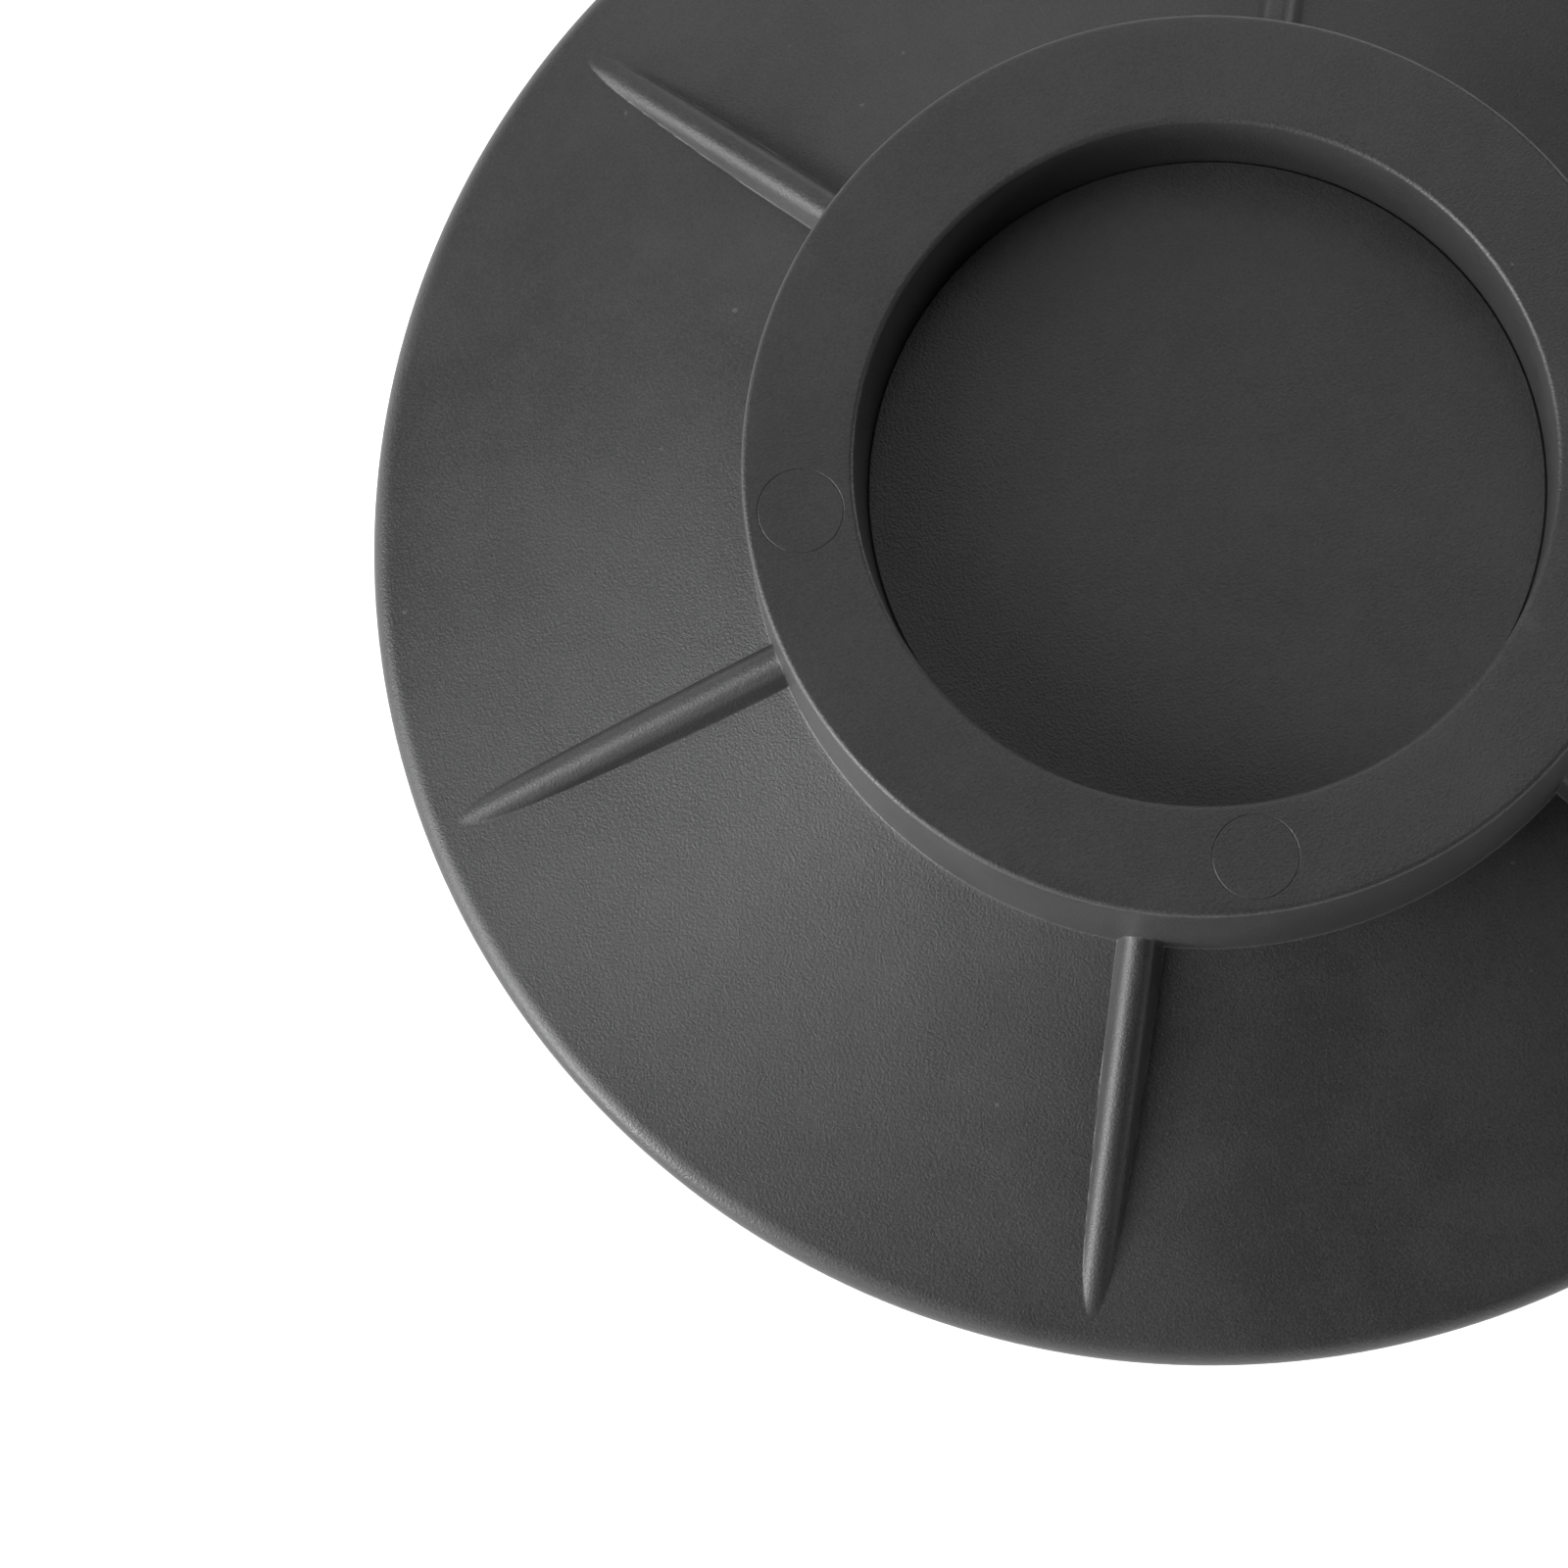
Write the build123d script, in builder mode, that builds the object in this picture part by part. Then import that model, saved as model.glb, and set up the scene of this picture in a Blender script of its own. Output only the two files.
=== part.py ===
from build123d import *
import math
import os

# Through-desk cable grommet with a domed, ribbed flange and a raised round
# collar. Millimetres. +Z up, out of the desk. The origin is on the collar's
# axis, in the plane of the desk surface, where the flange's foam ring rests.
# One of the six ribs points along +X.

# ---------------------------------------------------------------- dimensions
flange_r = 51.0          # outermost radius of the domed flange
edge_r = 1.5             # bullnose radius of the flange's edge
edge_slope = math.radians(15.5)  # slope of the dome where it meets that edge
rim_z = 0.3              # underside of the rim, above the desk with foam squeezed
collar_top = 20.2        # flat top of the raised collar
collar_r = 27.38         # collar, outside
foot_r = 27.42           # collar wall where it meets the dome
foot_z = 11.0            # height of that foot
bore_top_r = 20.70       # recess in the collar, at its mouth
bore_r = 20.30           # recess at the cap
shell_t = 2.5            # moulded wall
ledge_r = 18.6           # cap ledge, inner radius
ledge_top = 11.4
ledge_bot = 9.4
collar_bot = 7.2         # underside of the collar walls, on the sleeve
core_in = 22.8           # cored-out groove under the collar top
core_out = 25.2
core_top = 17.8
locate_in = 29.9         # locating wall around the sleeve
locate_out = 31.3
mid_in = 38.6            # middle stiffening wall
mid_out = 40.0
rim_in = 47.3
web_z = 1.2              # underside of the webs, seat of the foam ring
web_t = 1.5
n_webs = 12

n_ribs = 6               # ribs on top of the dome
rib_r0 = 26.6            # inner end, inside the collar's wall
rib_r1 = 48.7            # where the crest meets the dome
rib_end = 49.6           # outer end, sunk in the rim
rib_rho = 1.08           # radius of the rounded top
rib_h0 = 1.95            # height over the dome at the collar

screw_r = 24.0           # pitch radius of the bosses and their pin marks
n_screws = 4
screw_a0 = 75.3          # angle of the first boss
boss_r = 2.6
pilot_r = 1.25
pilot_top = 15.6
mark_r = 2.55            # ejector pin marks on the collar's top
mark_d = 0.16

sleeve_r = 29.3          # plain shank, for a 60 mm desk hole
sleeve_in = 26.3
sleeve_flange_t = 2.0
shank_bot = -9.0
sleeve_bot = -42.0
core_r = 28.1            # root of the outside thread
pitch = 4.0
thread_top = -11.0
key_w = 8.0              # two keyways along the thread

desk_t = 25.0            # desk top held at rest
washer_t = 1.5
washer_in = 29.8
washer_r = 41.0
ring_gap = 0.1
ring_h = 10.0
ring_bore = 29.6
ring_crest = 28.4
ring_r = 37.6

cap_r = 20.21
cap_top = 13.6
skirt_out = 17.9
skirt_in = 15.9
skirt_bot = 6.6
seal_minor = 0.85
seal_major = 17.65
seal_z = 8.1

gasket_in = 41.6
gasket_out = 47.0

os.makedirs("parts", exist_ok=True)

# --------------------------------------------------------- derived, the dome
edge_c = (flange_r - edge_r, rim_z + edge_r)
# the dome is slightly hollow: steeper at the collar's foot, and tangent to the
# rounded edge where it arrives there at edge_slope
tan_pt = (edge_c[0] + edge_r * math.sin(edge_slope), edge_c[1] + edge_r * math.cos(edge_slope))
chord = math.hypot(tan_pt[0] - foot_r, foot_z - tan_pt[1])
chord_slope = math.atan2(foot_z - tan_pt[1], tan_pt[0] - foot_r)
hollow_r = chord / (2 * math.sin(chord_slope - edge_slope))
hollow_c = (tan_pt[0] + hollow_r * math.sin(edge_slope), tan_pt[1] + hollow_r * math.cos(edge_slope))
mid_a = (math.pi / 2 - edge_slope) / 2
edge_mid = (edge_c[0] + edge_r * math.cos(mid_a), edge_c[1] + edge_r * math.sin(mid_a))


def dome_z(r):
    return hollow_c[1] - math.sqrt(hollow_r**2 - (r - hollow_c[0]) ** 2)


def dome_under(r):
    return dome_z(r) - shell_t / math.cos(chord_slope)


half_way = (foot_r + tan_pt[0]) / 2
print("dome chord slope deg", round(math.degrees(chord_slope), 2), "hollow radius", round(hollow_r, 1), "at half way", round(dome_z(half_way), 3))

# ------------------------------------------------- webs under the dome (tool)
with BuildPart() as webs:
    with BuildSketch(Plane.XY.offset(web_z)) as web_plan:
        with PolarLocations((locate_out + rim_in) / 2, n_webs, start_angle=15.0):
            Rectangle(rim_in - locate_out + 1.2, web_t)
    extrude(amount=12)
    with BuildSketch(Plane.XZ) as web_zone:
        with BuildLine():
            Polyline(
                (locate_out - 0.7, web_z),
                (rim_in + 0.5, web_z),
                (rim_in + 0.5, dome_under(rim_in + 0.5) + 0.8),
                (locate_out - 0.7, dome_under(locate_out - 0.7) + 0.8),
                close=True,
            )
        make_face()
    revolve(axis=Axis.Z, mode=Mode.INTERSECT)

# ------------------------------------------------------- one top rib (tool)
# a full-round bar of constant section; its straight crest sinks into the dome
crest_fall = (dome_z(foot_r) + rib_h0 - dome_z(rib_r1)) / (rib_r1 - foot_r)


def crest_z(r):
    return dome_z(foot_r) + rib_h0 - (r - foot_r) * crest_fall


def rib_section(r, z_low):
    zt = crest_z(r)
    c = math.cos(math.radians(12))
    d = math.sin(math.radians(12))
    return (rib_rho * c, zt - rib_rho + rib_rho * d, zt, z_low, rib_rho * c + 0.12)


with BuildPart() as rib:
    with BuildSketch(Plane(origin=(rib_r0, 0, 0), x_dir=(0, 1, 0), z_dir=(1, 0, 0))) as rib_in:
        w, zs, zt, zl, wl = rib_section(rib_r0, dome_z(foot_r) - 0.9)
        with BuildLine():
            Line((-wl, zl), (-w, zs))
            ThreePointArc((-w, zs), (0, zt), (w, zs))
            Line((w, zs), (wl, zl))
            Line((wl, zl), (-wl, zl))
        make_face()
    with BuildSketch(Plane(origin=(rib_end, 0, 0), x_dir=(0, 1, 0), z_dir=(1, 0, 0))) as rib_out:
        w, zs, zt, zl, wl = rib_section(rib_end, crest_z(rib_end) - rib_rho - 0.3)
        with BuildLine():
            Line((-wl, zl), (-w, zs))
            ThreePointArc((-w, zs), (0, zt), (w, zs))
            Line((w, zs), (wl, zl))
            Line((wl, zl), (-wl, zl))
        make_face()
    loft()

# --------------------------------------------------------------- flange_cover
# One moulding: domed flange, raised collar with its recess, cap ledge,
# six ribs that sink into the dome, screw bosses in the cored collar, stiffening webs below.
with BuildPart() as flange_cover:
    with BuildSketch(Plane.XZ) as cover_profile:
        with BuildLine():
            Polyline(
                (bore_top_r, collar_top),
                (collar_r, collar_top),
                (foot_r, foot_z),
            )
            ThreePointArc((foot_r, foot_z), (half_way, dome_z(half_way)), tan_pt)
            ThreePointArc(tan_pt, edge_mid, (flange_r, edge_c[1]))
            ThreePointArc(
                (flange_r, edge_c[1]),
                (edge_c[0] + edge_r * math.cos(math.pi / 4), edge_c[1] - edge_r * math.sin(math.pi / 4)),
                (edge_c[0], rim_z),
            )
            Polyline(
                (edge_c[0], rim_z),
                (rim_in, rim_z),
                (rim_in, dome_under(rim_in)),
                (mid_out, dome_under(mid_out)),
                (mid_out, web_z),
                (mid_in, web_z),
                (mid_in, dome_under(mid_in)),
                (locate_out, dome_under(locate_out)),
                (locate_out, web_z),
                (locate_in, web_z),
                (locate_in, collar_bot),
                (core_out, collar_bot),
                (core_out, core_top),
                (core_in, core_top),
                (core_in, collar_bot),
                (bore_r + 0.6, collar_bot),
                (bore_r + 0.6, ledge_bot),
                (ledge_r, ledge_bot),
                (ledge_r, ledge_top),
                (bore_r, ledge_top),
                (bore_r, cap_top),
                (bore_top_r, collar_top),
            )
        make_face()
    revolve(axis=Axis.Z)
    # screw bosses fill the cored groove at four places
    with BuildSketch(Plane.XY.offset(collar_bot)) as boss_plan:
        with PolarLocations(screw_r, n_screws, start_angle=screw_a0):
            Circle(boss_r)
    extrude(amount=core_top + 0.6 - collar_bot)
    # ribs over the dome
    with PolarLocations(0, n_ribs):
        add(rib.part)
    # webs under the dome
    add(webs.part)
    # keep the bosses and ribs out of the recess and the cap's seat
    with BuildSketch(Plane.XZ) as recess_profile:
        with BuildLine():
            Polyline(
                (0, ledge_top),
                (bore_r, ledge_top),
                (bore_r, cap_top),
                (bore_top_r, collar_top),
                (bore_top_r, collar_top + 4),
                (0, collar_top + 4),
                close=True,
            )
        make_face()
    revolve(axis=Axis.Z, mode=Mode.SUBTRACT)
    # pilot holes for the four screws
    with BuildSketch(Plane.XY.offset(collar_bot)) as pilot_plan:
        with PolarLocations(screw_r, n_screws, start_angle=screw_a0):
            Circle(pilot_r)
    extrude(amount=pilot_top - collar_bot, mode=Mode.SUBTRACT)
    # soft edges: collar top, recess mouth, collar foot
    top_face = flange_cover.faces().filter_by(Axis.Z).sort_by(Axis.Z)[-1]
    rim_edges = top_face.edges().filter_by(GeomType.CIRCLE)
    fillet(rim_edges, radius=0.38)
    # shallow round marks left by the ejector pins over the bosses
    with BuildSketch(Plane.XY.offset(collar_top)) as mark_plan:
        with PolarLocations(screw_r, n_screws, start_angle=screw_a0):
            Circle(mark_r)
    extrude(amount=-mark_d, mode=Mode.SUBTRACT)
flange_cover.part.label = "flange_cover"

# ------------------------------------------------------------ mounting_sleeve
# Tube through the desk, threaded on the outside, with an inner flange that
# the cover's collar stands on and is screwed to.
with BuildPart() as thread:
    with BuildLine() as thread_path:
        Helix(pitch=pitch, height=abs(sleeve_bot) + thread_top + 2.0, radius=core_r, center=(0, 0, sleeve_bot - 2.0))
    with BuildSketch(Plane(origin=(core_r, 0, sleeve_bot - 2.0), x_dir=(1, 0, 0), z_dir=(0, -1, 0))) as thread_profile:
        with BuildLine():
            Polyline((-0.25, -1.45), (0, -1.25), (sleeve_r - core_r, -0.65), (sleeve_r - core_r, 0.65), (0, 1.25), (-0.25, 1.45), close=True)
        make_face()
    sweep(path=thread_path.wires()[0], is_frenet=True)

with BuildPart() as mounting_sleeve:
    with BuildSketch(Plane.XZ) as sleeve_profile:
        with BuildLine():
            Polyline(
                (ledge_r + 0.3, collar_bot),
                (sleeve_r, collar_bot),
                (sleeve_r, shank_bot),
                (core_r, shank_bot - 1.0),
                (core_r, sleeve_bot + 0.8),
                (core_r - 0.6, sleeve_bot),
                (sleeve_in + 0.6, sleeve_bot),
                (sleeve_in, sleeve_bot + 0.8),
                (sleeve_in, collar_bot - sleeve_flange_t),
                (ledge_r + 0.3, collar_bot - sleeve_flange_t),
                close=True,
            )
        make_face()
    revolve(axis=Axis.Z)
    add(thread.part)
    # the thread ends flush inside the sleeve's lower end
    with BuildSketch(Plane.XY.offset(sleeve_bot - 8.0)) as end_trim:
        Circle(sleeve_r + 2.0)
    extrude(amount=8.0, mode=Mode.SUBTRACT)
    # two keyways along the thread for the washer's tabs
    with BuildSketch(Plane.XY.offset(sleeve_bot - 1.0)) as key_plan:
        with PolarLocations(core_r + 1.5, 2, start_angle=30.0):
            Rectangle(3.0, key_w)
    extrude(amount=shank_bot - 1.0 - sleeve_bot + 1.0, mode=Mode.SUBTRACT)
    # clearance holes for the cover screws
    with BuildSketch(Plane.XY.offset(collar_bot - sleeve_flange_t - 0.5)) as hole_plan:
        with PolarLocations(screw_r, n_screws, start_angle=screw_a0):
            Circle(1.65)
    extrude(amount=sleeve_flange_t + 1.0, mode=Mode.SUBTRACT)
mounting_sleeve.part.label = "mounting_sleeve"

# --------------------------------------------------------------- cover_screws
# Four small pan head screws, driven up through the sleeve's inner flange.
with BuildPart() as cover_screws:
    with BuildSketch(Plane.XZ) as screw_profile:
        seat = collar_bot - sleeve_flange_t
        with BuildLine():
            Polyline(
                (0, seat + 9.4),
                (0.5, seat + 9.4),
                (pilot_r + 0.1, seat + 8.2),
                (pilot_r + 0.1, seat),
                (2.15, seat),
                (2.15, seat - 0.7),
            )
            ThreePointArc((2.15, seat - 0.7), (1.7, seat - 1.35), (0, seat - 1.7))
            Line((0, seat - 1.7), (0, seat + 9.4))
        make_face()
    revolve(axis=Axis.Z)
    with BuildSketch(Plane.XY.offset(seat - 2.0)) as drive:
        Rectangle(2.2, 0.5)
        Rectangle(0.5, 2.2)
    extrude(amount=1.25, mode=Mode.SUBTRACT)
one_screw = cover_screws.part
with BuildPart() as screw_set:
    with PolarLocations(screw_r, n_screws, start_angle=screw_a0):
        add(one_screw)
screw_set.part.label = "cover_screws"

# ---------------------------------------------------------------- desk_gasket
# Foam ring stuck under the webs, inside the rim; it touches the desk.
with BuildPart() as desk_gasket:
    with BuildSketch(Plane.XY) as gasket_plan:
        Circle(gasket_out)
        Circle(gasket_in, mode=Mode.SUBTRACT)
    extrude(amount=web_z)
desk_gasket.part.label = "desk_gasket"

# --------------------------------------------------------------- blanking_cap
# Plain round cap on the ledge: the floor of the recess.
with BuildPart() as blanking_cap:
    with BuildSketch(Plane.XZ) as cap_profile:
        with BuildLine():
            Polyline(
                (0, cap_top),
                (cap_r - 0.12, cap_top),
                (cap_r, cap_top - 0.12),
                (cap_r, ledge_top),
                (skirt_out, ledge_top),
                (skirt_out, seal_z + seal_minor + 0.1),
                (seal_major - seal_minor - 0.05, seal_z + seal_minor + 0.1),
                (seal_major - seal_minor - 0.05, seal_z - seal_minor - 0.1),
                (skirt_out, seal_z - seal_minor - 0.1),
                (skirt_out, skirt_bot + 0.3),
                (skirt_out - 0.3, skirt_bot),
                (skirt_in, skirt_bot),
                (skirt_in, ledge_top),
                (0, ledge_top),
                close=True,
            )
        make_face()
    revolve(axis=Axis.Z)
blanking_cap.part.label = "blanking_cap"

# -------------------------------------------------------------- cap_seal_ring
with BuildPart() as cap_seal_ring:
    with BuildSketch(Plane.XZ) as seal_profile:
        with Locations((seal_major, seal_z)):
            Circle(seal_minor)
    revolve(axis=Axis.Z)
cap_seal_ring.part.label = "cap_seal_ring"

# --------------------------------------------------------------- clamp_washer
# Pressed steel washer under the desk, keyed to the sleeve so it can't turn.
washer_top = -desk_t
with BuildPart() as clamp_washer:
    with BuildSketch(Plane.XY.offset(washer_top - washer_t)) as washer_plan:
        Circle(washer_r)
        Circle(washer_in, mode=Mode.SUBTRACT)
        with PolarLocations((core_r + 0.4 + washer_in + 1.0) / 2, 2, start_angle=30.0):
            Rectangle(washer_in + 1.0 - core_r - 0.4, key_w - 0.8)
    extrude(amount=washer_t)
    fillet(clamp_washer.edges().filter_by(GeomType.CIRCLE).group_by(SortBy.RADIUS)[-1], radius=0.4)
clamp_washer.part.label = "clamp_washer"

# ------------------------------------------------------------------ lock_ring
# Hand nut with finger scallops; its inside thread runs on the sleeve.
ring_top = washer_top - washer_t - ring_gap
ring_bot = ring_top - ring_h
# the inside thread is the sleeve's own ridge, cut into the bore with clearance,
# one turn at a time
with BuildPart() as groove:
    with BuildLine() as groove_path:
        Helix(pitch=pitch, height=pitch, radius=core_r, center=(0, 0, sleeve_bot - 2.0))
    with BuildSketch(Plane(origin=(core_r, 0, sleeve_bot - 2.0), x_dir=(1, 0, 0), z_dir=(0, -1, 0))) as groove_profile:
        with BuildLine():
            Polyline((-0.3, -1.65), (ring_bore - core_r, -0.75), (ring_bore - core_r, 0.75), (-0.3, 1.65), close=True)
        make_face()
    sweep(path=groove_path.wires()[0], is_frenet=True)
first_turn = math.floor((ring_bot - (sleeve_bot - 2.0)) / pitch)

with BuildPart() as lock_ring:
    with BuildSketch(Plane.XY.offset(ring_bot)) as ring_plan:
        Circle(ring_r)
        with PolarLocations(ring_r + 4.2, 12):
            Circle(6.2, mode=Mode.SUBTRACT)
        Circle(ring_crest, mode=Mode.SUBTRACT)
    extrude(amount=ring_h)
    for k in range(first_turn, first_turn + 4):
        with Locations((0, 0, k * pitch)):
            add(groove.part, mode=Mode.SUBTRACT)
    with BuildSketch(Plane.XY.offset(ring_top - 2.4)) as ring_flange:
        Circle(ring_r + 0.8)
        Circle(ring_r - 4.0, mode=Mode.SUBTRACT)
    extrude(amount=2.4)
    # four spanner notches in the lower face
    with BuildSketch(Plane.XY.offset(ring_bot)) as notch_plan:
        with PolarLocations(ring_r - 3.2, 4, start_angle=45.0):
            Rectangle(4.0, 5.0)
    extrude(amount=2.2, mode=Mode.SUBTRACT)
lock_ring.part.label = "lock_ring"

# --------------------------------------------------------------------- export
export_step(flange_cover.part, "parts/flange_cover.step")
export_step(mounting_sleeve.part, "parts/mounting_sleeve.step")
export_step(screw_set.part, "parts/cover_screws.step")
export_step(desk_gasket.part, "parts/desk_gasket.step")
export_step(blanking_cap.part, "parts/blanking_cap.step")
export_step(cap_seal_ring.part, "parts/cap_seal_ring.step")
export_step(clamp_washer.part, "parts/clamp_washer.step")
export_step(lock_ring.part, "parts/lock_ring.step")
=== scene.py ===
import math

import bmesh
import bpy
import numpy as np
from mathutils import Matrix, Vector


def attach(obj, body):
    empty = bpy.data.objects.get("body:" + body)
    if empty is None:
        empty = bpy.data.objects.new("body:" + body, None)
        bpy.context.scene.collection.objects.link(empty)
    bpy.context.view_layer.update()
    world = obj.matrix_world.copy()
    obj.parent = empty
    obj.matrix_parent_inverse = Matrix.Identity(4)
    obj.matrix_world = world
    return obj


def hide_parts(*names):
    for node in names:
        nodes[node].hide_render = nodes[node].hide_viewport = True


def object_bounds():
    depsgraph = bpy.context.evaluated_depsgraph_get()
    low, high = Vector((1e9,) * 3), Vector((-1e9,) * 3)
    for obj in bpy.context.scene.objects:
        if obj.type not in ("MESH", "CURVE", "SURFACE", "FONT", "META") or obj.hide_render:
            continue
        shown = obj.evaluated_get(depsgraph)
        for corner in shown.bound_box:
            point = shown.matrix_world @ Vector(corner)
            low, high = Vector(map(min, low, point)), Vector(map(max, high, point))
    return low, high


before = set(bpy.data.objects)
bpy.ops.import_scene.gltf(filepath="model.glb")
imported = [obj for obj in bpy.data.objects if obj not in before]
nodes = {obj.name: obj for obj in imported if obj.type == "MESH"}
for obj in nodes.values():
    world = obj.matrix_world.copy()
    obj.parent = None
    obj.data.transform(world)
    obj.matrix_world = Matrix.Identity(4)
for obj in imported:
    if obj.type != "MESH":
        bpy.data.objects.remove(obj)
cad_lo, cad_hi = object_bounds()
scene = bpy.context.scene
MM = 0.001

# The camera comes first: the photograph's viewpoint, principal point centred.
cam_data = bpy.data.cameras.new("camera")
cam_data.sensor_fit = "HORIZONTAL"
cam_data.sensor_width = 36.0
cam_data.lens = 202.5
cam_data.clip_start = 0.01
cam_data.clip_end = 20.0
cam = bpy.data.objects.new("camera", cam_data)
scene.collection.objects.link(cam)
cam.matrix_world = Matrix((
    (0.9306535577373422, 0.36520932056120853, -0.022496836356421978, -0.04167395099062548),
    (-0.36125080252094566, 0.9073146008394009, -0.2151233896665156, -0.11991864941553096),
    (-0.05815335887805596, 0.20833234813359922, 0.9763277213990909, 0.5241644584879205),
    (0.0, 0.0, 0.0, 1.0),
))
scene.camera = cam


# --------------------------------------------------------------- mesh helpers
def link(name, mesh):
    ob = bpy.data.objects.new(name, mesh)
    scene.collection.objects.link(ob)
    return ob


def grid_mesh(name, xyz):
    """A closed torus-like skin from an array [row, column, 3] in mm, wrapped both ways."""
    nr, nc = xyz.shape[:2]
    verts = (xyz.reshape(-1, 3) * MM).tolist()
    idx = np.arange(nr * nc).reshape(nr, nc)
    a = idx
    b = np.roll(idx, -1, axis=1)
    c = np.roll(np.roll(idx, -1, axis=0), -1, axis=1)
    d = np.roll(idx, -1, axis=0)
    faces = np.stack([a, d, c, b], axis=-1).reshape(-1, 4).tolist()
    mesh = bpy.data.meshes.new(name)
    mesh.from_pydata(verts, [], faces)
    mesh.update()
    return mesh


def lathe_solid(name, profile, cols, centre=(0.0, 0.0)):
    """A solid of revolution from a (r, z) polyline in mm that starts and ends on the axis."""
    inner = [p for p in profile if p[0] > 1e-6]
    verts, faces = [], []
    for r, z in inner:
        for k in range(cols):
            t = 2 * math.pi * k / cols
            verts.append(((centre[0] + r * math.cos(t)) * MM, (centre[1] + r * math.sin(t)) * MM, z * MM))
    top = len(verts)
    verts.append((centre[0] * MM, centre[1] * MM, profile[0][1] * MM))
    bot = len(verts)
    verts.append((centre[0] * MM, centre[1] * MM, profile[-1][1] * MM))
    n = len(inner)
    for k in range(cols):
        k2 = (k + 1) % cols
        faces.append((top, k2, k))
        for i in range(n - 1):
            faces.append((i * cols + k, i * cols + k2, (i + 1) * cols + k2, (i + 1) * cols + k))
        faces.append((bot, (n - 1) * cols + k, (n - 1) * cols + k2))
    mesh = bpy.data.meshes.new(name)
    mesh.from_pydata(verts, [], faces)
    mesh.update()
    return mesh


def outward(mesh):
    bm = bmesh.new()
    bm.from_mesh(mesh)
    bmesh.ops.recalc_face_normals(bm, faces=bm.faces)
    if bm.calc_volume(signed=True) < 0:
        bmesh.ops.reverse_faces(bm, faces=bm.faces)
    bm.to_mesh(mesh)
    bm.free()


def joined(name, meshes):
    bm = bmesh.new()
    for m in meshes:
        outward(m)
        bm.from_mesh(m)
    out = bpy.data.meshes.new(name)
    bm.to_mesh(out)
    bm.free()
    return out


def boolean(ob, tool_mesh, operation):
    tool = link("tool_" + ob.name, tool_mesh)
    mod = ob.modifiers.new("b", "BOOLEAN")
    mod.operation = operation
    mod.solver = "MANIFOLD"
    mod.object = tool
    dg = bpy.context.evaluated_depsgraph_get()
    new = bpy.data.meshes.new_from_object(ob.evaluated_get(dg))
    ob.modifiers.remove(mod)
    ob.data = new
    bpy.data.objects.remove(tool)


def smooth(mesh, angle=32.0):
    mesh.polygons.foreach_set("use_smooth", [True] * len(mesh.polygons))
    mesh.set_sharp_from_angle(angle=math.radians(angle))
    mesh.update()


def round_polyline(pts, segs=4):
    """(r, z, radius) corners in mm to a (r, z) polyline with tangent arcs at them."""
    out = []
    n = len(pts)
    for i, (x, y, rad) in enumerate(pts):
        if rad <= 0 or i in (0, n - 1):
            out.append((x, y))
            continue
        p, a, b = (np.array(q[:2], float) for q in (pts[i], pts[i - 1], pts[i + 1]))
        u, v = (a - p) / np.linalg.norm(a - p), (b - p) / np.linalg.norm(b - p)
        half = math.acos(max(-1, min(1, float(u @ v)))) / 2
        t = rad / math.tan(half)
        c = p + (u + v) / np.linalg.norm(u + v) * rad / math.sin(half)
        s, e = p + u * t - c, p + v * t - c
        a0, a1 = math.atan2(s[1], s[0]), math.atan2(e[1], e[0])
        d = (a1 - a0 + math.pi) % (2 * math.pi) - math.pi
        for k in range(segs + 1):
            w = a0 + d * k / segs
            out.append((float(c[0] + rad * math.cos(w)), float(c[1] + rad * math.sin(w))))
    return out


# ------------------------------------------------ flange cover, in millimetres
flange_r, edge_r, rim_z = 51.0, 1.5, 0.3
collar_top, collar_r, foot_r, foot_z = 20.2, 27.38, 27.42, 11.0
bore_top_r, bore_r, shell_t = 20.70, 20.30, 2.5
ledge_r, ledge_top, ledge_bot, collar_bot = 18.6, 11.4, 9.4, 7.2
core_in, core_out, core_top = 22.8, 25.2, 17.8
locate_in, locate_out, mid_in, mid_out, rim_in, web_z = 29.9, 31.3, 38.6, 40.0, 47.3, 1.2
rib_r0, rib_r1 = 26.6, 48.7
screw_r, screw_a0, boss_r, pilot_r, pilot_top = 24.0, 75.3, 2.6, 1.25, 15.6
mark_r = 2.55
lip_r = 20.235  # the recess narrows a little where the cap seats

edge_slope = math.radians(15.5)
edge_c = (flange_r - edge_r, rim_z + edge_r)
tan_r, tan_z = edge_c[0] + edge_r * math.sin(edge_slope), edge_c[1] + edge_r * math.cos(edge_slope)
chord = math.hypot(tan_r - foot_r, foot_z - tan_z)
slope = math.atan2(foot_z - tan_z, tan_r - foot_r)
hollow_r = chord / (2 * math.sin(slope - edge_slope))
hollow_c = (tan_r + hollow_r * math.sin(edge_slope), tan_z + hollow_r * math.cos(edge_slope))


def dome_z(r):
    return hollow_c[1] - math.sqrt(hollow_r ** 2 - (r - hollow_c[0]) ** 2)


def dome_under(r):
    return dome_z(r) - shell_t / math.cos(slope)


def smooth_max(a, b, k):
    h = np.clip(0.5 + 0.5 * (a - b) / k, 0, 1)
    return b * (1 - h) + a * h + k * h * (1 - h)


rib_h0, rib_a, rib_b = 2.05, 1.04, 1.10


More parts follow.
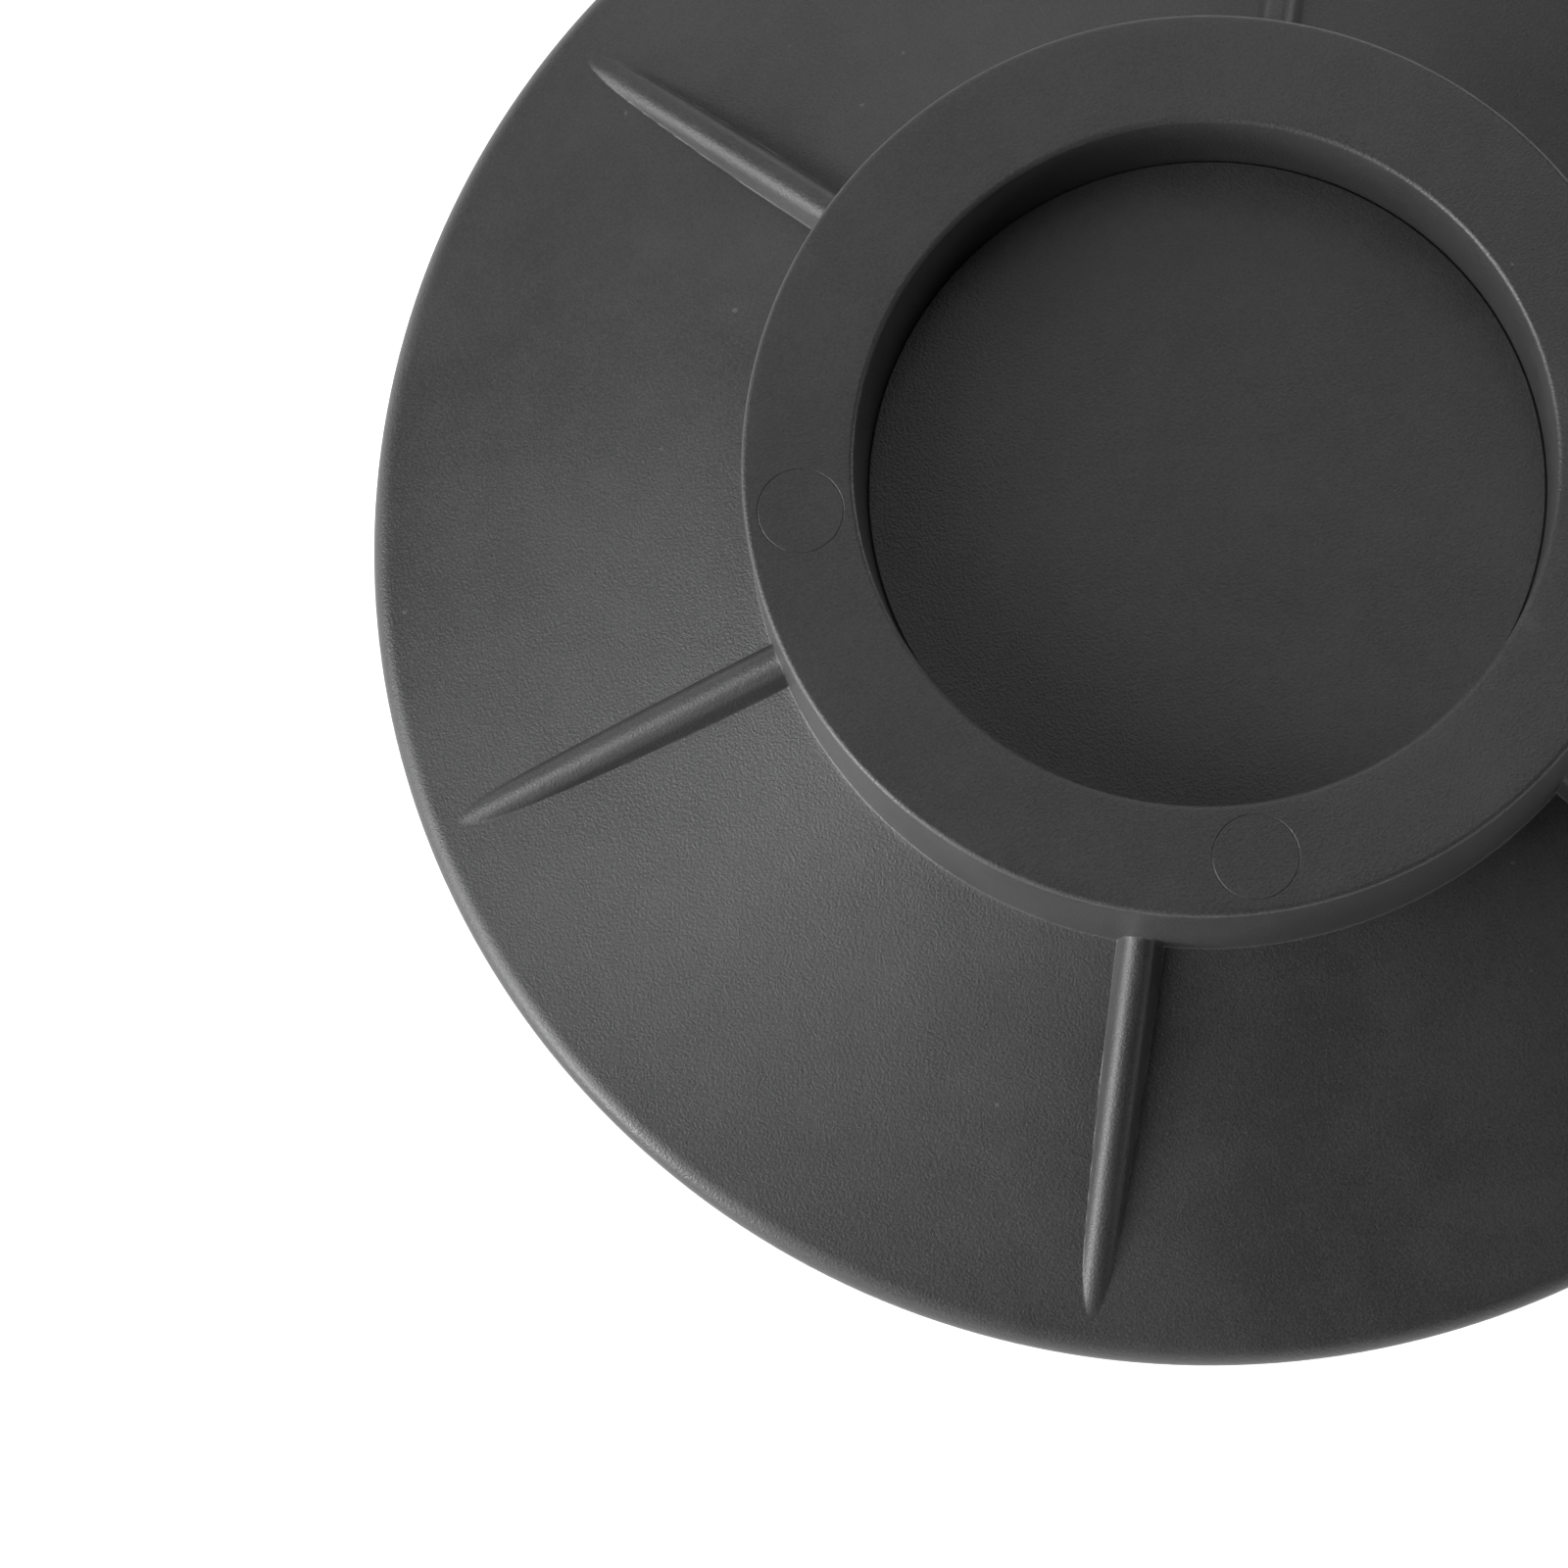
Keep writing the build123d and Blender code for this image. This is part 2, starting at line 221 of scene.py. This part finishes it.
def rib_top(r, y):
    """Height of a rib's surface at radius r and distance y from its centre line: an elliptic crest on straight drafted sides, bowed a little along its length, sinking into the dome."""
    zt = foot_z + rib_h0 + (dome_z(rib_r1) - foot_z - rib_h0) * (r - foot_r) / (rib_r1 - foot_r)
    zt += 0.15 * math.sin(math.pi * min(1.0, max(0.0, (r - foot_r) / (rib_r1 - foot_r))))
    y = np.abs(y)
    a = rib_a * 0.95
    crest = zt - rib_b + rib_b * np.sqrt(np.maximum(1 - (np.minimum(y, a) / rib_a) ** 2, 0))
    return np.where(y <= a, crest, crest - (y - a) * rib_b / rib_a * 0.95 / math.sqrt(1 - 0.9025))


def top_z(r, y):
    base = np.full_like(y, dome_z(r))
    if r > rib_r1 + 0.6:
        return base
    k = 0.15 if r < rib_r1 - 8 else 0.04 + 0.11 * max(0.0, (rib_r1 + 0.6 - r) / 8.6)
    return smooth_max(rib_top(r, y), base, k)


# columns: lines parallel to each rib near it, spread evenly between ribs
near = [0.0]
step = 0.055
while near[-1] < 1.35:
    near.append(near[-1] + step)
while near[-1] < 3.2:
    step *= 1.22
    near.append(near[-1] + step)
near = np.array(near)
n_between = 38


def column_angles(r):
    """Angles of all columns at radius r, and each column's distance from the nearest rib's centre line."""
    rr = min(max(r, foot_r), rib_r1)
    s = 1.0 + (0.85 - 1.0) * (rr - foot_r) / (rib_r1 - foot_r)
    ang, lat = [], []
    reach = np.arcsin(near * s / rr)
    gap = math.radians(60.0) - 2 * reach[-1]
    for i in range(6):
        c = math.radians(60.0 * i)
        ang.extend(c - reach[:0:-1])
        lat.extend(-near[:0:-1] * s)
        ang.extend(c + reach)
        lat.extend(near * s)
        mids = reach[-1] + gap * np.arange(1, n_between + 1) / (n_between + 1)
        ang.extend(c + mids)
        lat.extend([99.0] * n_between)
    return np.array(ang), np.array(lat)


rows_rz = []  # each row: radius per column and height per column


def add_row(r, z):
    ang, lat = column_angles(float(np.mean(r)))
    n = len(ang)
    rows_rz.append((np.broadcast_to(np.asarray(r, float), (n,)).copy(), np.broadcast_to(np.asarray(z, float), (n,)).copy(), ang))


foot_fillet = 0.16
# recess wall, mouth, flat top, outer edge
inner = round_polyline([
    (lip_r, ledge_top + 0.0, 0), (lip_r, ledge_top + 2.24, 0), (bore_r + 0.005, ledge_top + 2.62, 0), (bore_top_r, collar_top, 0.38), (collar_r, collar_top, 0.38), (foot_r, foot_z, 0),
], 7)
inner = inner[:-1]
inner.insert(1, (lip_r, ledge_top + 0.8))
wall_top = inner[-1]
steps = []
for (r0, z0), (r1, z1) in zip(inner[:-1], inner[1:]):
    d = math.hypot(r1 - r0, z1 - z0)
    n = max(1, int(d / 0.9))
    steps += [(r0 + (r1 - r0) * k / n, z0 + (z1 - z0) * k / n) for k in range(n)]
steps.append(wall_top)
for r, z in steps:
    add_row(r, z)
# outer wall down to the foot, which climbs over each rib
ang_f, lat_f = column_angles(foot_r)
z_foot = np.where(np.abs(lat_f) < 50, top_z(foot_r, lat_f), foot_z)
z_start = z_foot + foot_fillet
for k in range(1, 10):
    f = k / 10.0
    add_row(wall_top[0] + (foot_r - wall_top[0]) * f, wall_top[1] + (z_start - wall_top[1]) * f)
ang_g, lat_g = column_angles(foot_r + foot_fillet)
z_end = np.where(np.abs(lat_g) < 50, top_z(foot_r + foot_fillet, lat_g), dome_z(foot_r + foot_fillet))
for k in range(7):
    t = k / 6.0
    r = (1 - t) ** 2 * foot_r + 2 * t * (1 - t) * foot_r + t * t * (foot_r + foot_fillet)
    z = (1 - t) ** 2 * z_start + 2 * t * (1 - t) * z_foot + t * t * z_end
    add_row(r, z)
# dome with its ribs
dome_rs = list(np.linspace(foot_r + foot_fillet, 46.5, 44)[1:]) + list(np.linspace(46.5, tan_r, 16)[1:])
for r in dome_rs:
    ang, lat = column_angles(r)
    add_row(r, np.where(np.abs(lat) < 50, top_z(r, lat), dome_z(r)))
# bullnose edge
a_start, a_end = math.pi / 2 - edge_slope, -math.pi / 2
for k in range(1, 25):
    w = a_start + (a_end - a_start) * k / 24.0
    add_row(edge_c[0] + edge_r * math.cos(w), edge_c[1] + edge_r * math.sin(w))
# underside
under = round_polyline([
    (edge_c[0], rim_z, 0),
    (rim_in, rim_z, 0.2),
    (rim_in, dome_under(rim_in), 0.25),
    (mid_out, dome_under(mid_out), 0.3),
    (mid_out, web_z, 0.18),
    (mid_in, web_z, 0.18),
    (mid_in, dome_under(mid_in), 0.3),
    (locate_out, dome_under(locate_out), 0.3),
    (locate_out, web_z, 0.18),
    (locate_in, web_z, 0.18),
    (locate_in, collar_bot, 0.2),
    (core_out, collar_bot, 0.15),
    (core_out, core_top, 0.3),
    (core_in, core_top, 0.3),
    (core_in, collar_bot, 0.15),
    (bore_r + 0.6, collar_bot, 0.15),
    (bore_r + 0.6, ledge_bot, 0.15),
    (ledge_r, ledge_bot, 0.15),
    (ledge_r, ledge_top, 0.12),
    (bore_r, ledge_top, 0),
], 4)[1:-1]
for r, z in under:
    add_row(r, z)

xyz = np.zeros((len(rows_rz), len(rows_rz[0][0]), 3))
for i, (r, z, ang) in enumerate(rows_rz):
    xyz[i, :, 0], xyz[i, :, 1], xyz[i, :, 2] = r * np.cos(ang), r * np.sin(ang), z
cover = link("flange_cover_shell", grid_mesh("flange_cover_shell", xyz))
outward(cover.data)

# webs and bosses under the dome
adds = []
for i in range(12):
    a = math.radians(15.0 + 30.0 * i)
    ca, sa = math.cos(a), math.sin(a)
    prof = [(locate_out - 0.7, web_z + 0.001), (rim_in + 0.5, web_z + 0.001), (rim_in + 0.5, dome_under(rim_in + 0.5) + 0.8), (locate_out - 0.7, dome_under(locate_out - 0.7) + 0.8)]
    verts = []
    for side in (-1, 1):
        for n, (r, z) in enumerate(prof):
            y = side * (0.70 if n < 2 else 0.80)
            verts.append(((r * ca - y * sa) * MM, (r * sa + y * ca) * MM, z * MM))
    m = bpy.data.meshes.new("web")
    m.from_pydata(verts, [], [(0, 1, 2, 3), (7, 6, 5, 4), (0, 4, 5, 1), (1, 5, 6, 2), (2, 6, 7, 3), (3, 7, 4, 0)])
    adds.append(m)
boolean(cover, joined("webs", adds), "UNION")
adds, cuts, lips = [], [], []
for i in range(4):
    a = math.radians(screw_a0 + 90.0 * i)
    c = (screw_r * math.cos(a), screw_r * math.sin(a))
    adds.append(lathe_solid("boss", [(0, core_top + 0.6), (boss_r, core_top + 0.6), (boss_r, collar_bot + 0.02), (0, collar_bot + 0.02)], 48, c))
    cuts.append(lathe_solid("pilot", [(0, pilot_top), (pilot_r - 0.3, pilot_top), (pilot_r, pilot_top - 0.3), (pilot_r, collar_bot + 0.25), (pilot_r + 0.3, collar_bot - 0.05), (pilot_r + 0.3, collar_bot - 0.6), (0, collar_bot - 0.6)], 32, c))
    t = collar_top
    if i in (1, 2):  # the two pin marks that show: a hairline groove round the pin's end
        cuts.append(lathe_solid("mark", [(0, t + 0.6), (mark_r + 0.075, t + 0.6), (mark_r + 0.075, t + 0.006), (mark_r + 0.01, t - 0.030), (mark_r - 0.01, t - 0.030), (mark_r - 0.075, t + 0.006), (0, t + 0.006)], 96, c))
boolean(cover, joined("bosses", adds), "UNION")
boolean(cover, joined("cuts", cuts), "DIFFERENCE")
smooth(cover.data, 26.0)
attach(cover, "grommet")
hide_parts("flange_cover")


# ------------------------------------------------------------------ materials
for old in list(bpy.data.materials):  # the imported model's plain materials
    bpy.data.materials.remove(old)


def new_material(name):
    m = bpy.data.materials.new(name)
    m.use_nodes = True
    nt = m.node_tree
    nt.nodes.clear()
    out = nt.nodes.new("ShaderNodeOutputMaterial")
    bsdf = nt.nodes.new("ShaderNodeBsdfPrincipled")
    nt.links.new(bsdf.outputs["BSDF"], out.inputs["Surface"])
    coord = nt.nodes.new("ShaderNodeTexCoord")
    return m, nt, bsdf, coord.outputs["Object"]


def noise(nt, vec, scale, detail=2.0, rough=0.5, dist=0.0):
    n = nt.nodes.new("ShaderNodeTexNoise")
    n.inputs["Scale"].default_value = scale
    n.inputs["Detail"].default_value = detail
    n.inputs["Roughness"].default_value = rough
    n.inputs["Distortion"].default_value = dist
    nt.links.new(vec, n.inputs["Vector"])
    return n.outputs["Fac"]


def ramp(nt, fac, lo, hi, v0, v1):
    m = nt.nodes.new("ShaderNodeMapRange")
    m.interpolation_type = "SMOOTHSTEP"
    m.inputs["From Min"].default_value = lo
    m.inputs["From Max"].default_value = hi
    m.inputs["To Min"].default_value = v0
    m.inputs["To Max"].default_value = v1
    nt.links.new(fac, m.inputs["Value"])
    return m.outputs["Result"]


def maths(nt, op, a, b):
    m = nt.nodes.new("ShaderNodeMath")
    m.operation = op
    for i, v in enumerate((a, b)):
        if isinstance(v, (int, float)):
            m.inputs[i].default_value = v
        else:
            nt.links.new(v, m.inputs[i])
    return m.outputs[0]


def mixed(nt, fac, a, b):
    m = nt.nodes.new("ShaderNodeMix")
    m.data_type = "RGBA"
    for s, v in ((6, a), (7, b)):
        if isinstance(v, tuple):
            m.inputs[s].default_value = (*v, 1.0)
        else:
            nt.links.new(v, m.inputs[s])
    if isinstance(fac, float):
        m.inputs[0].default_value = fac
    else:
        nt.links.new(fac, m.inputs[0])
    return m.outputs[2]


def bumped(nt, bsdf, layers):
    """layers: (height socket, strength, distance in metres), from coarse to fine."""
    last = None
    for h, strength, distance in layers:
        b = nt.nodes.new("ShaderNodeBump")
        b.inputs["Strength"].default_value = strength
        b.inputs["Distance"].default_value = distance
        nt.links.new(h, b.inputs["Height"])
        if last is not None:
            nt.links.new(last, b.inputs["Normal"])
        last = b.outputs["Normal"]
    nt.links.new(last, bsdf.inputs["Normal"])


def moulded(name, dark, light, rough, grain=0.5, wear=0.25, ior=1.5):
    """Matte moulded plastic: slow tone drift, spark-eroded grain, rubbed edges, a few pale specks."""
    m, nt, bsdf, vec = new_material(name)
    slow = noise(nt, vec, 55.0, 3.0, 0.55, 0.4)
    mid = noise(nt, vec, 420.0, 3.0, 0.6)
    fine = noise(nt, vec, 6500.0, 1.0, 0.6)
    tone = maths(nt, "ADD", maths(nt, "MULTIPLY", slow, 0.40), maths(nt, "ADD", maths(nt, "MULTIPLY", mid, 0.15), maths(nt, "MULTIPLY", fine, 0.45)))
    base = mixed(nt, ramp(nt, tone, 0.34, 0.66, 0.0, 1.0), dark, light)
    geo = nt.nodes.new("ShaderNodeNewGeometry")
    rub = maths(nt, "MULTIPLY", ramp(nt, geo.outputs["Pointiness"], 0.515, 0.60, 0.0, wear), ramp(nt, noise(nt, vec, 900.0, 3.0), 0.35, 0.65, 0.25, 1.0))
    base = mixed(nt, rub, base, tuple(min(1.0, c * 2.6 + 0.02) for c in light))
    speck = ramp(nt, noise(nt, vec, 1300.0, 0.0), 0.89, 0.92, 0.0, 0.30)
    base = mixed(nt, speck, base, (0.22, 0.22, 0.22))
    nt.links.new(base, bsdf.inputs["Base Color"])
    r = maths(nt, "ADD", ramp(nt, slow, 0.3, 0.7, rough - 0.035, rough + 0.035), ramp(nt, fine, 0.3, 0.7, -0.03, 0.03))
    nt.links.new(maths(nt, "SUBTRACT", r, maths(nt, "MULTIPLY", rub, 0.2)), bsdf.inputs["Roughness"])
    bsdf.inputs["IOR"].default_value = ior
    grainy = noise(nt, vec, 6200.0, 1.0, 0.6)
    bumped(nt, bsdf, [(mid, 0.10, 0.00004), (grainy, grain, 0.00006)])
    return m


def steel(name, tint, rough, ring=True):
    """Zinc plated pressed steel: rolled streaks, soft spangle, dull patches."""
    m, nt, bsdf, vec = new_material(name)
    mp = nt.nodes.new("ShaderNodeMapping")
    mp.inputs["Scale"].default_value = (40.0, 2200.0, 2200.0)
    nt.links.new(vec, mp.inputs["Vector"])
    streak = noise(nt, mp.outputs["Vector"], 1.0, 3.0, 0.6)
    cloud = noise(nt, vec, 130.0, 4.0, 0.6, 0.6)
    fine = noise(nt, vec, 2600.0, 2.0)
    base = mixed(nt, ramp(nt, cloud, 0.3, 0.7, 0.0, 1.0), tuple(c * 0.82 for c in tint), tint)
    base = mixed(nt, ramp(nt, streak, 0.45, 0.75, 0.0, 0.35), base, tuple(c * 0.62 for c in tint))
    nt.links.new(base, bsdf.inputs["Base Color"])
    bsdf.inputs["Metallic"].default_value = 1.0
    r = maths(nt, "ADD", ramp(nt, cloud, 0.3, 0.7, rough - 0.07, rough + 0.07), ramp(nt, streak, 0.3, 0.7, -0.05, 0.05))
    nt.links.new(r, bsdf.inputs["Roughness"])
    bumped(nt, bsdf, [(streak, 0.12, 0.00002), (fine, 0.15, 0.00001)])
    return m


def foam(name):
    """Closed-cell foam: small round cells, dull."""
    m, nt, bsdf, vec = new_material(name)
    cell = nt.nodes.new("ShaderNodeTexVoronoi")
    cell.inputs["Scale"].default_value = 2200.0
    nt.links.new(vec, cell.inputs["Vector"])
    drift = noise(nt, vec, 180.0, 3.0)
    base = mixed(nt, ramp(nt, cell.outputs["Distance"], 0.1, 0.75, 0.0, 1.0), (0.012, 0.012, 0.013), (0.045, 0.045, 0.047))
    base = mixed(nt, ramp(nt, drift, 0.35, 0.65, 0.0, 0.4), base, (0.03, 0.03, 0.031))
    nt.links.new(base, bsdf.inputs["Base Color"])
    nt.links.new(ramp(nt, drift, 0.3, 0.7, 0.82, 0.95), bsdf.inputs["Roughness"])
    bumped(nt, bsdf, [(drift, 0.2, 0.00015), (cell.outputs["Distance"], 0.8, 0.00012)])
    return m


def rubber(name):
    m, nt, bsdf, vec = new_material(name)
    drift = noise(nt, vec, 220.0, 3.0)
    fine = noise(nt, vec, 4200.0, 2.0)
    base = mixed(nt, ramp(nt, drift, 0.3, 0.7, 0.0, 1.0), (0.010, 0.010, 0.011), (0.024, 0.024, 0.025))
    nt.links.new(base, bsdf.inputs["Base Color"])
    nt.links.new(ramp(nt, drift, 0.3, 0.7, 0.38, 0.52), bsdf.inputs["Roughness"])
    bumped(nt, bsdf, [(drift, 0.1, 0.00008), (fine, 0.2, 0.00001)])
    return m


COVER = moulded("cover_plastic", (0.038, 0.038, 0.0385), (0.062, 0.062, 0.0625), 0.42, wear=0.08)
CAP = moulded("cap_plastic", (0.037, 0.037, 0.0375), (0.061, 0.061, 0.0615), 0.42, wear=0.08)
SLEEVE = moulded("sleeve_plastic", (0.026, 0.026, 0.027), (0.040, 0.040, 0.041), 0.42, grain=0.3)
RING = moulded("ring_plastic", (0.028, 0.028, 0.029), (0.042, 0.042, 0.043), 0.44, grain=0.35)
WASHER = steel("washer_steel", (0.62, 0.62, 0.60), 0.38)
SCREW = steel("screw_steel", (0.64, 0.64, 0.62), 0.34)
FOAM = foam("foam")
SEAL = rubber("seal_rubber")


def dress(node, material):
    ob = nodes[node]
    ob.data.materials.clear()
    ob.data.materials.append(material)


cover.data.materials.clear()
cover.data.materials.append(COVER)
for name, mat in (("flange_cover", COVER), ("mounting_sleeve", SLEEVE), ("cover_screws", SCREW), ("desk_gasket", FOAM), ("blanking_cap", CAP), ("cap_seal_ring", SEAL), ("clamp_washer", WASHER), ("lock_ring", RING)):
    dress(name, mat)

# ---------------------------------------------------------------- studio
floor_mesh = bpy.data.meshes.new("floor")
turns = [(2 * math.pi * k / 96) for k in range(96)]
cove = [(3.0, 0.0), (3.06, 0.015), (3.11, 0.06), (3.14, 0.14), (3.15, 0.70)]  # floor, then a low pale wall round it
verts = [(r * math.cos(w), r * math.sin(w), z) for r, z in cove for w in turns]
faces = [tuple(range(96))]
faces += [(j * 96 + k, j * 96 + (k + 1) % 96, (j + 1) * 96 + (k + 1) % 96, (j + 1) * 96 + k) for j in range(len(cove) - 1) for k in range(96)]
floor_mesh.from_pydata(verts, [], faces)
floor = link("floor", floor_mesh)
floor.location.z = cad_lo.z - 0.0001
for pale, glow in (("floor_pale", 0.6), ("wall_pale", 0.2)):
    fm, fnt, fb, fvec = new_material(pale)
    fbase = mixed(fnt, ramp(fnt, noise(fnt, fvec, 6.0, 3.0), 0.3, 0.7, 0.0, 1.0), (0.86, 0.86, 0.86), (0.90, 0.90, 0.90))
    fnt.links.new(fbase, fb.inputs["Base Color"])
    fb.inputs["Roughness"].default_value = 0.9
    fb.inputs["Emission Color"].default_value = (1.0, 1.0, 1.0, 1.0)
    fb.inputs["Emission Strength"].default_value = glow
    floor_mesh.materials.append(fm)
for poly in floor_mesh.polygons:
    poly.material_index = 0 if poly.index == 0 else 1

world = bpy.data.worlds.new("world")
scene.world = world
world.use_nodes = True
bg = world.node_tree.nodes["Background"]
bg.inputs["Color"].default_value = (1.0, 1.0, 1.0, 1.0)
bg.inputs["Strength"].default_value = 0.0


def softbox(name, az, el, size, power, dist=1.1):
    """A square soft light that looks at the flange from that azimuth and elevation in degrees."""
    d = bpy.data.lights.new(name, "AREA")
    d.shape = "SQUARE"
    d.size = size
    d.energy = power
    o = bpy.data.objects.new(name, d)
    scene.collection.objects.link(o)
    a, e = math.radians(az), math.radians(el)
    v = Vector((math.cos(a) * math.cos(e), math.sin(a) * math.cos(e), math.sin(e)))
    o.location = v * dist + Vector((0.0, 0.0, 0.012))
    o.rotation_mode = "QUATERNION"
    o.rotation_quaternion = v.to_track_quat("Z", "Y")


# name, azimuth, elevation, side in metres, watts
for light in (
    ("soft_04_020", 20.0, 4.0, 0.18, 0.219),
    ("soft_04_060", 60.0, 4.0, 0.18, 0.616),
    ("soft_04_160", 160.0, 4.0, 0.18, 0.138),
    ("soft_04_170", 170.0, 4.0, 0.18, 0.950),
    ("soft_04_190", 190.0, 4.0, 0.18, 6.186),
    ("soft_04_220", 220.0, 4.0, 0.18, 0.491),
    ("soft_12_000", 0.0, 12.0, 0.22, 1.997),
    ("soft_12_160", 160.0, 12.0, 0.22, 0.945),
    ("soft_22_060", 60.0, 22.0, 0.4, 0.281),
    ("soft_22_165", 165.0, 22.0, 0.4, 1.885),
    ("soft_22_180", 180.0, 22.0, 0.4, 3.131),
    ("soft_35_060", 60.0, 35.0, 0.45, 0.352),
    ("soft_35_090", 90.0, 35.0, 0.45, 0.908),
    ("soft_35_165", 165.0, 35.0, 0.45, 0.192),
    ("soft_35_180", 180.0, 35.0, 0.45, 2.158),
    ("soft_35_195", 195.0, 35.0, 0.45, 0.154),
    ("soft_35_210", 210.0, 35.0, 0.45, 1.231),
    ("soft_50_045", 45.0, 50.0, 0.5, 0.603),
    ("soft_50_090", 90.0, 50.0, 0.5, 0.422),
    ("soft_50_180", 180.0, 50.0, 0.5, 0.873),
    ("soft_70_060", 60.0, 70.0, 0.5, 0.814),
):
    softbox(*light)

scene.view_settings.view_transform = "Standard"
scene.view_settings.look = "None"
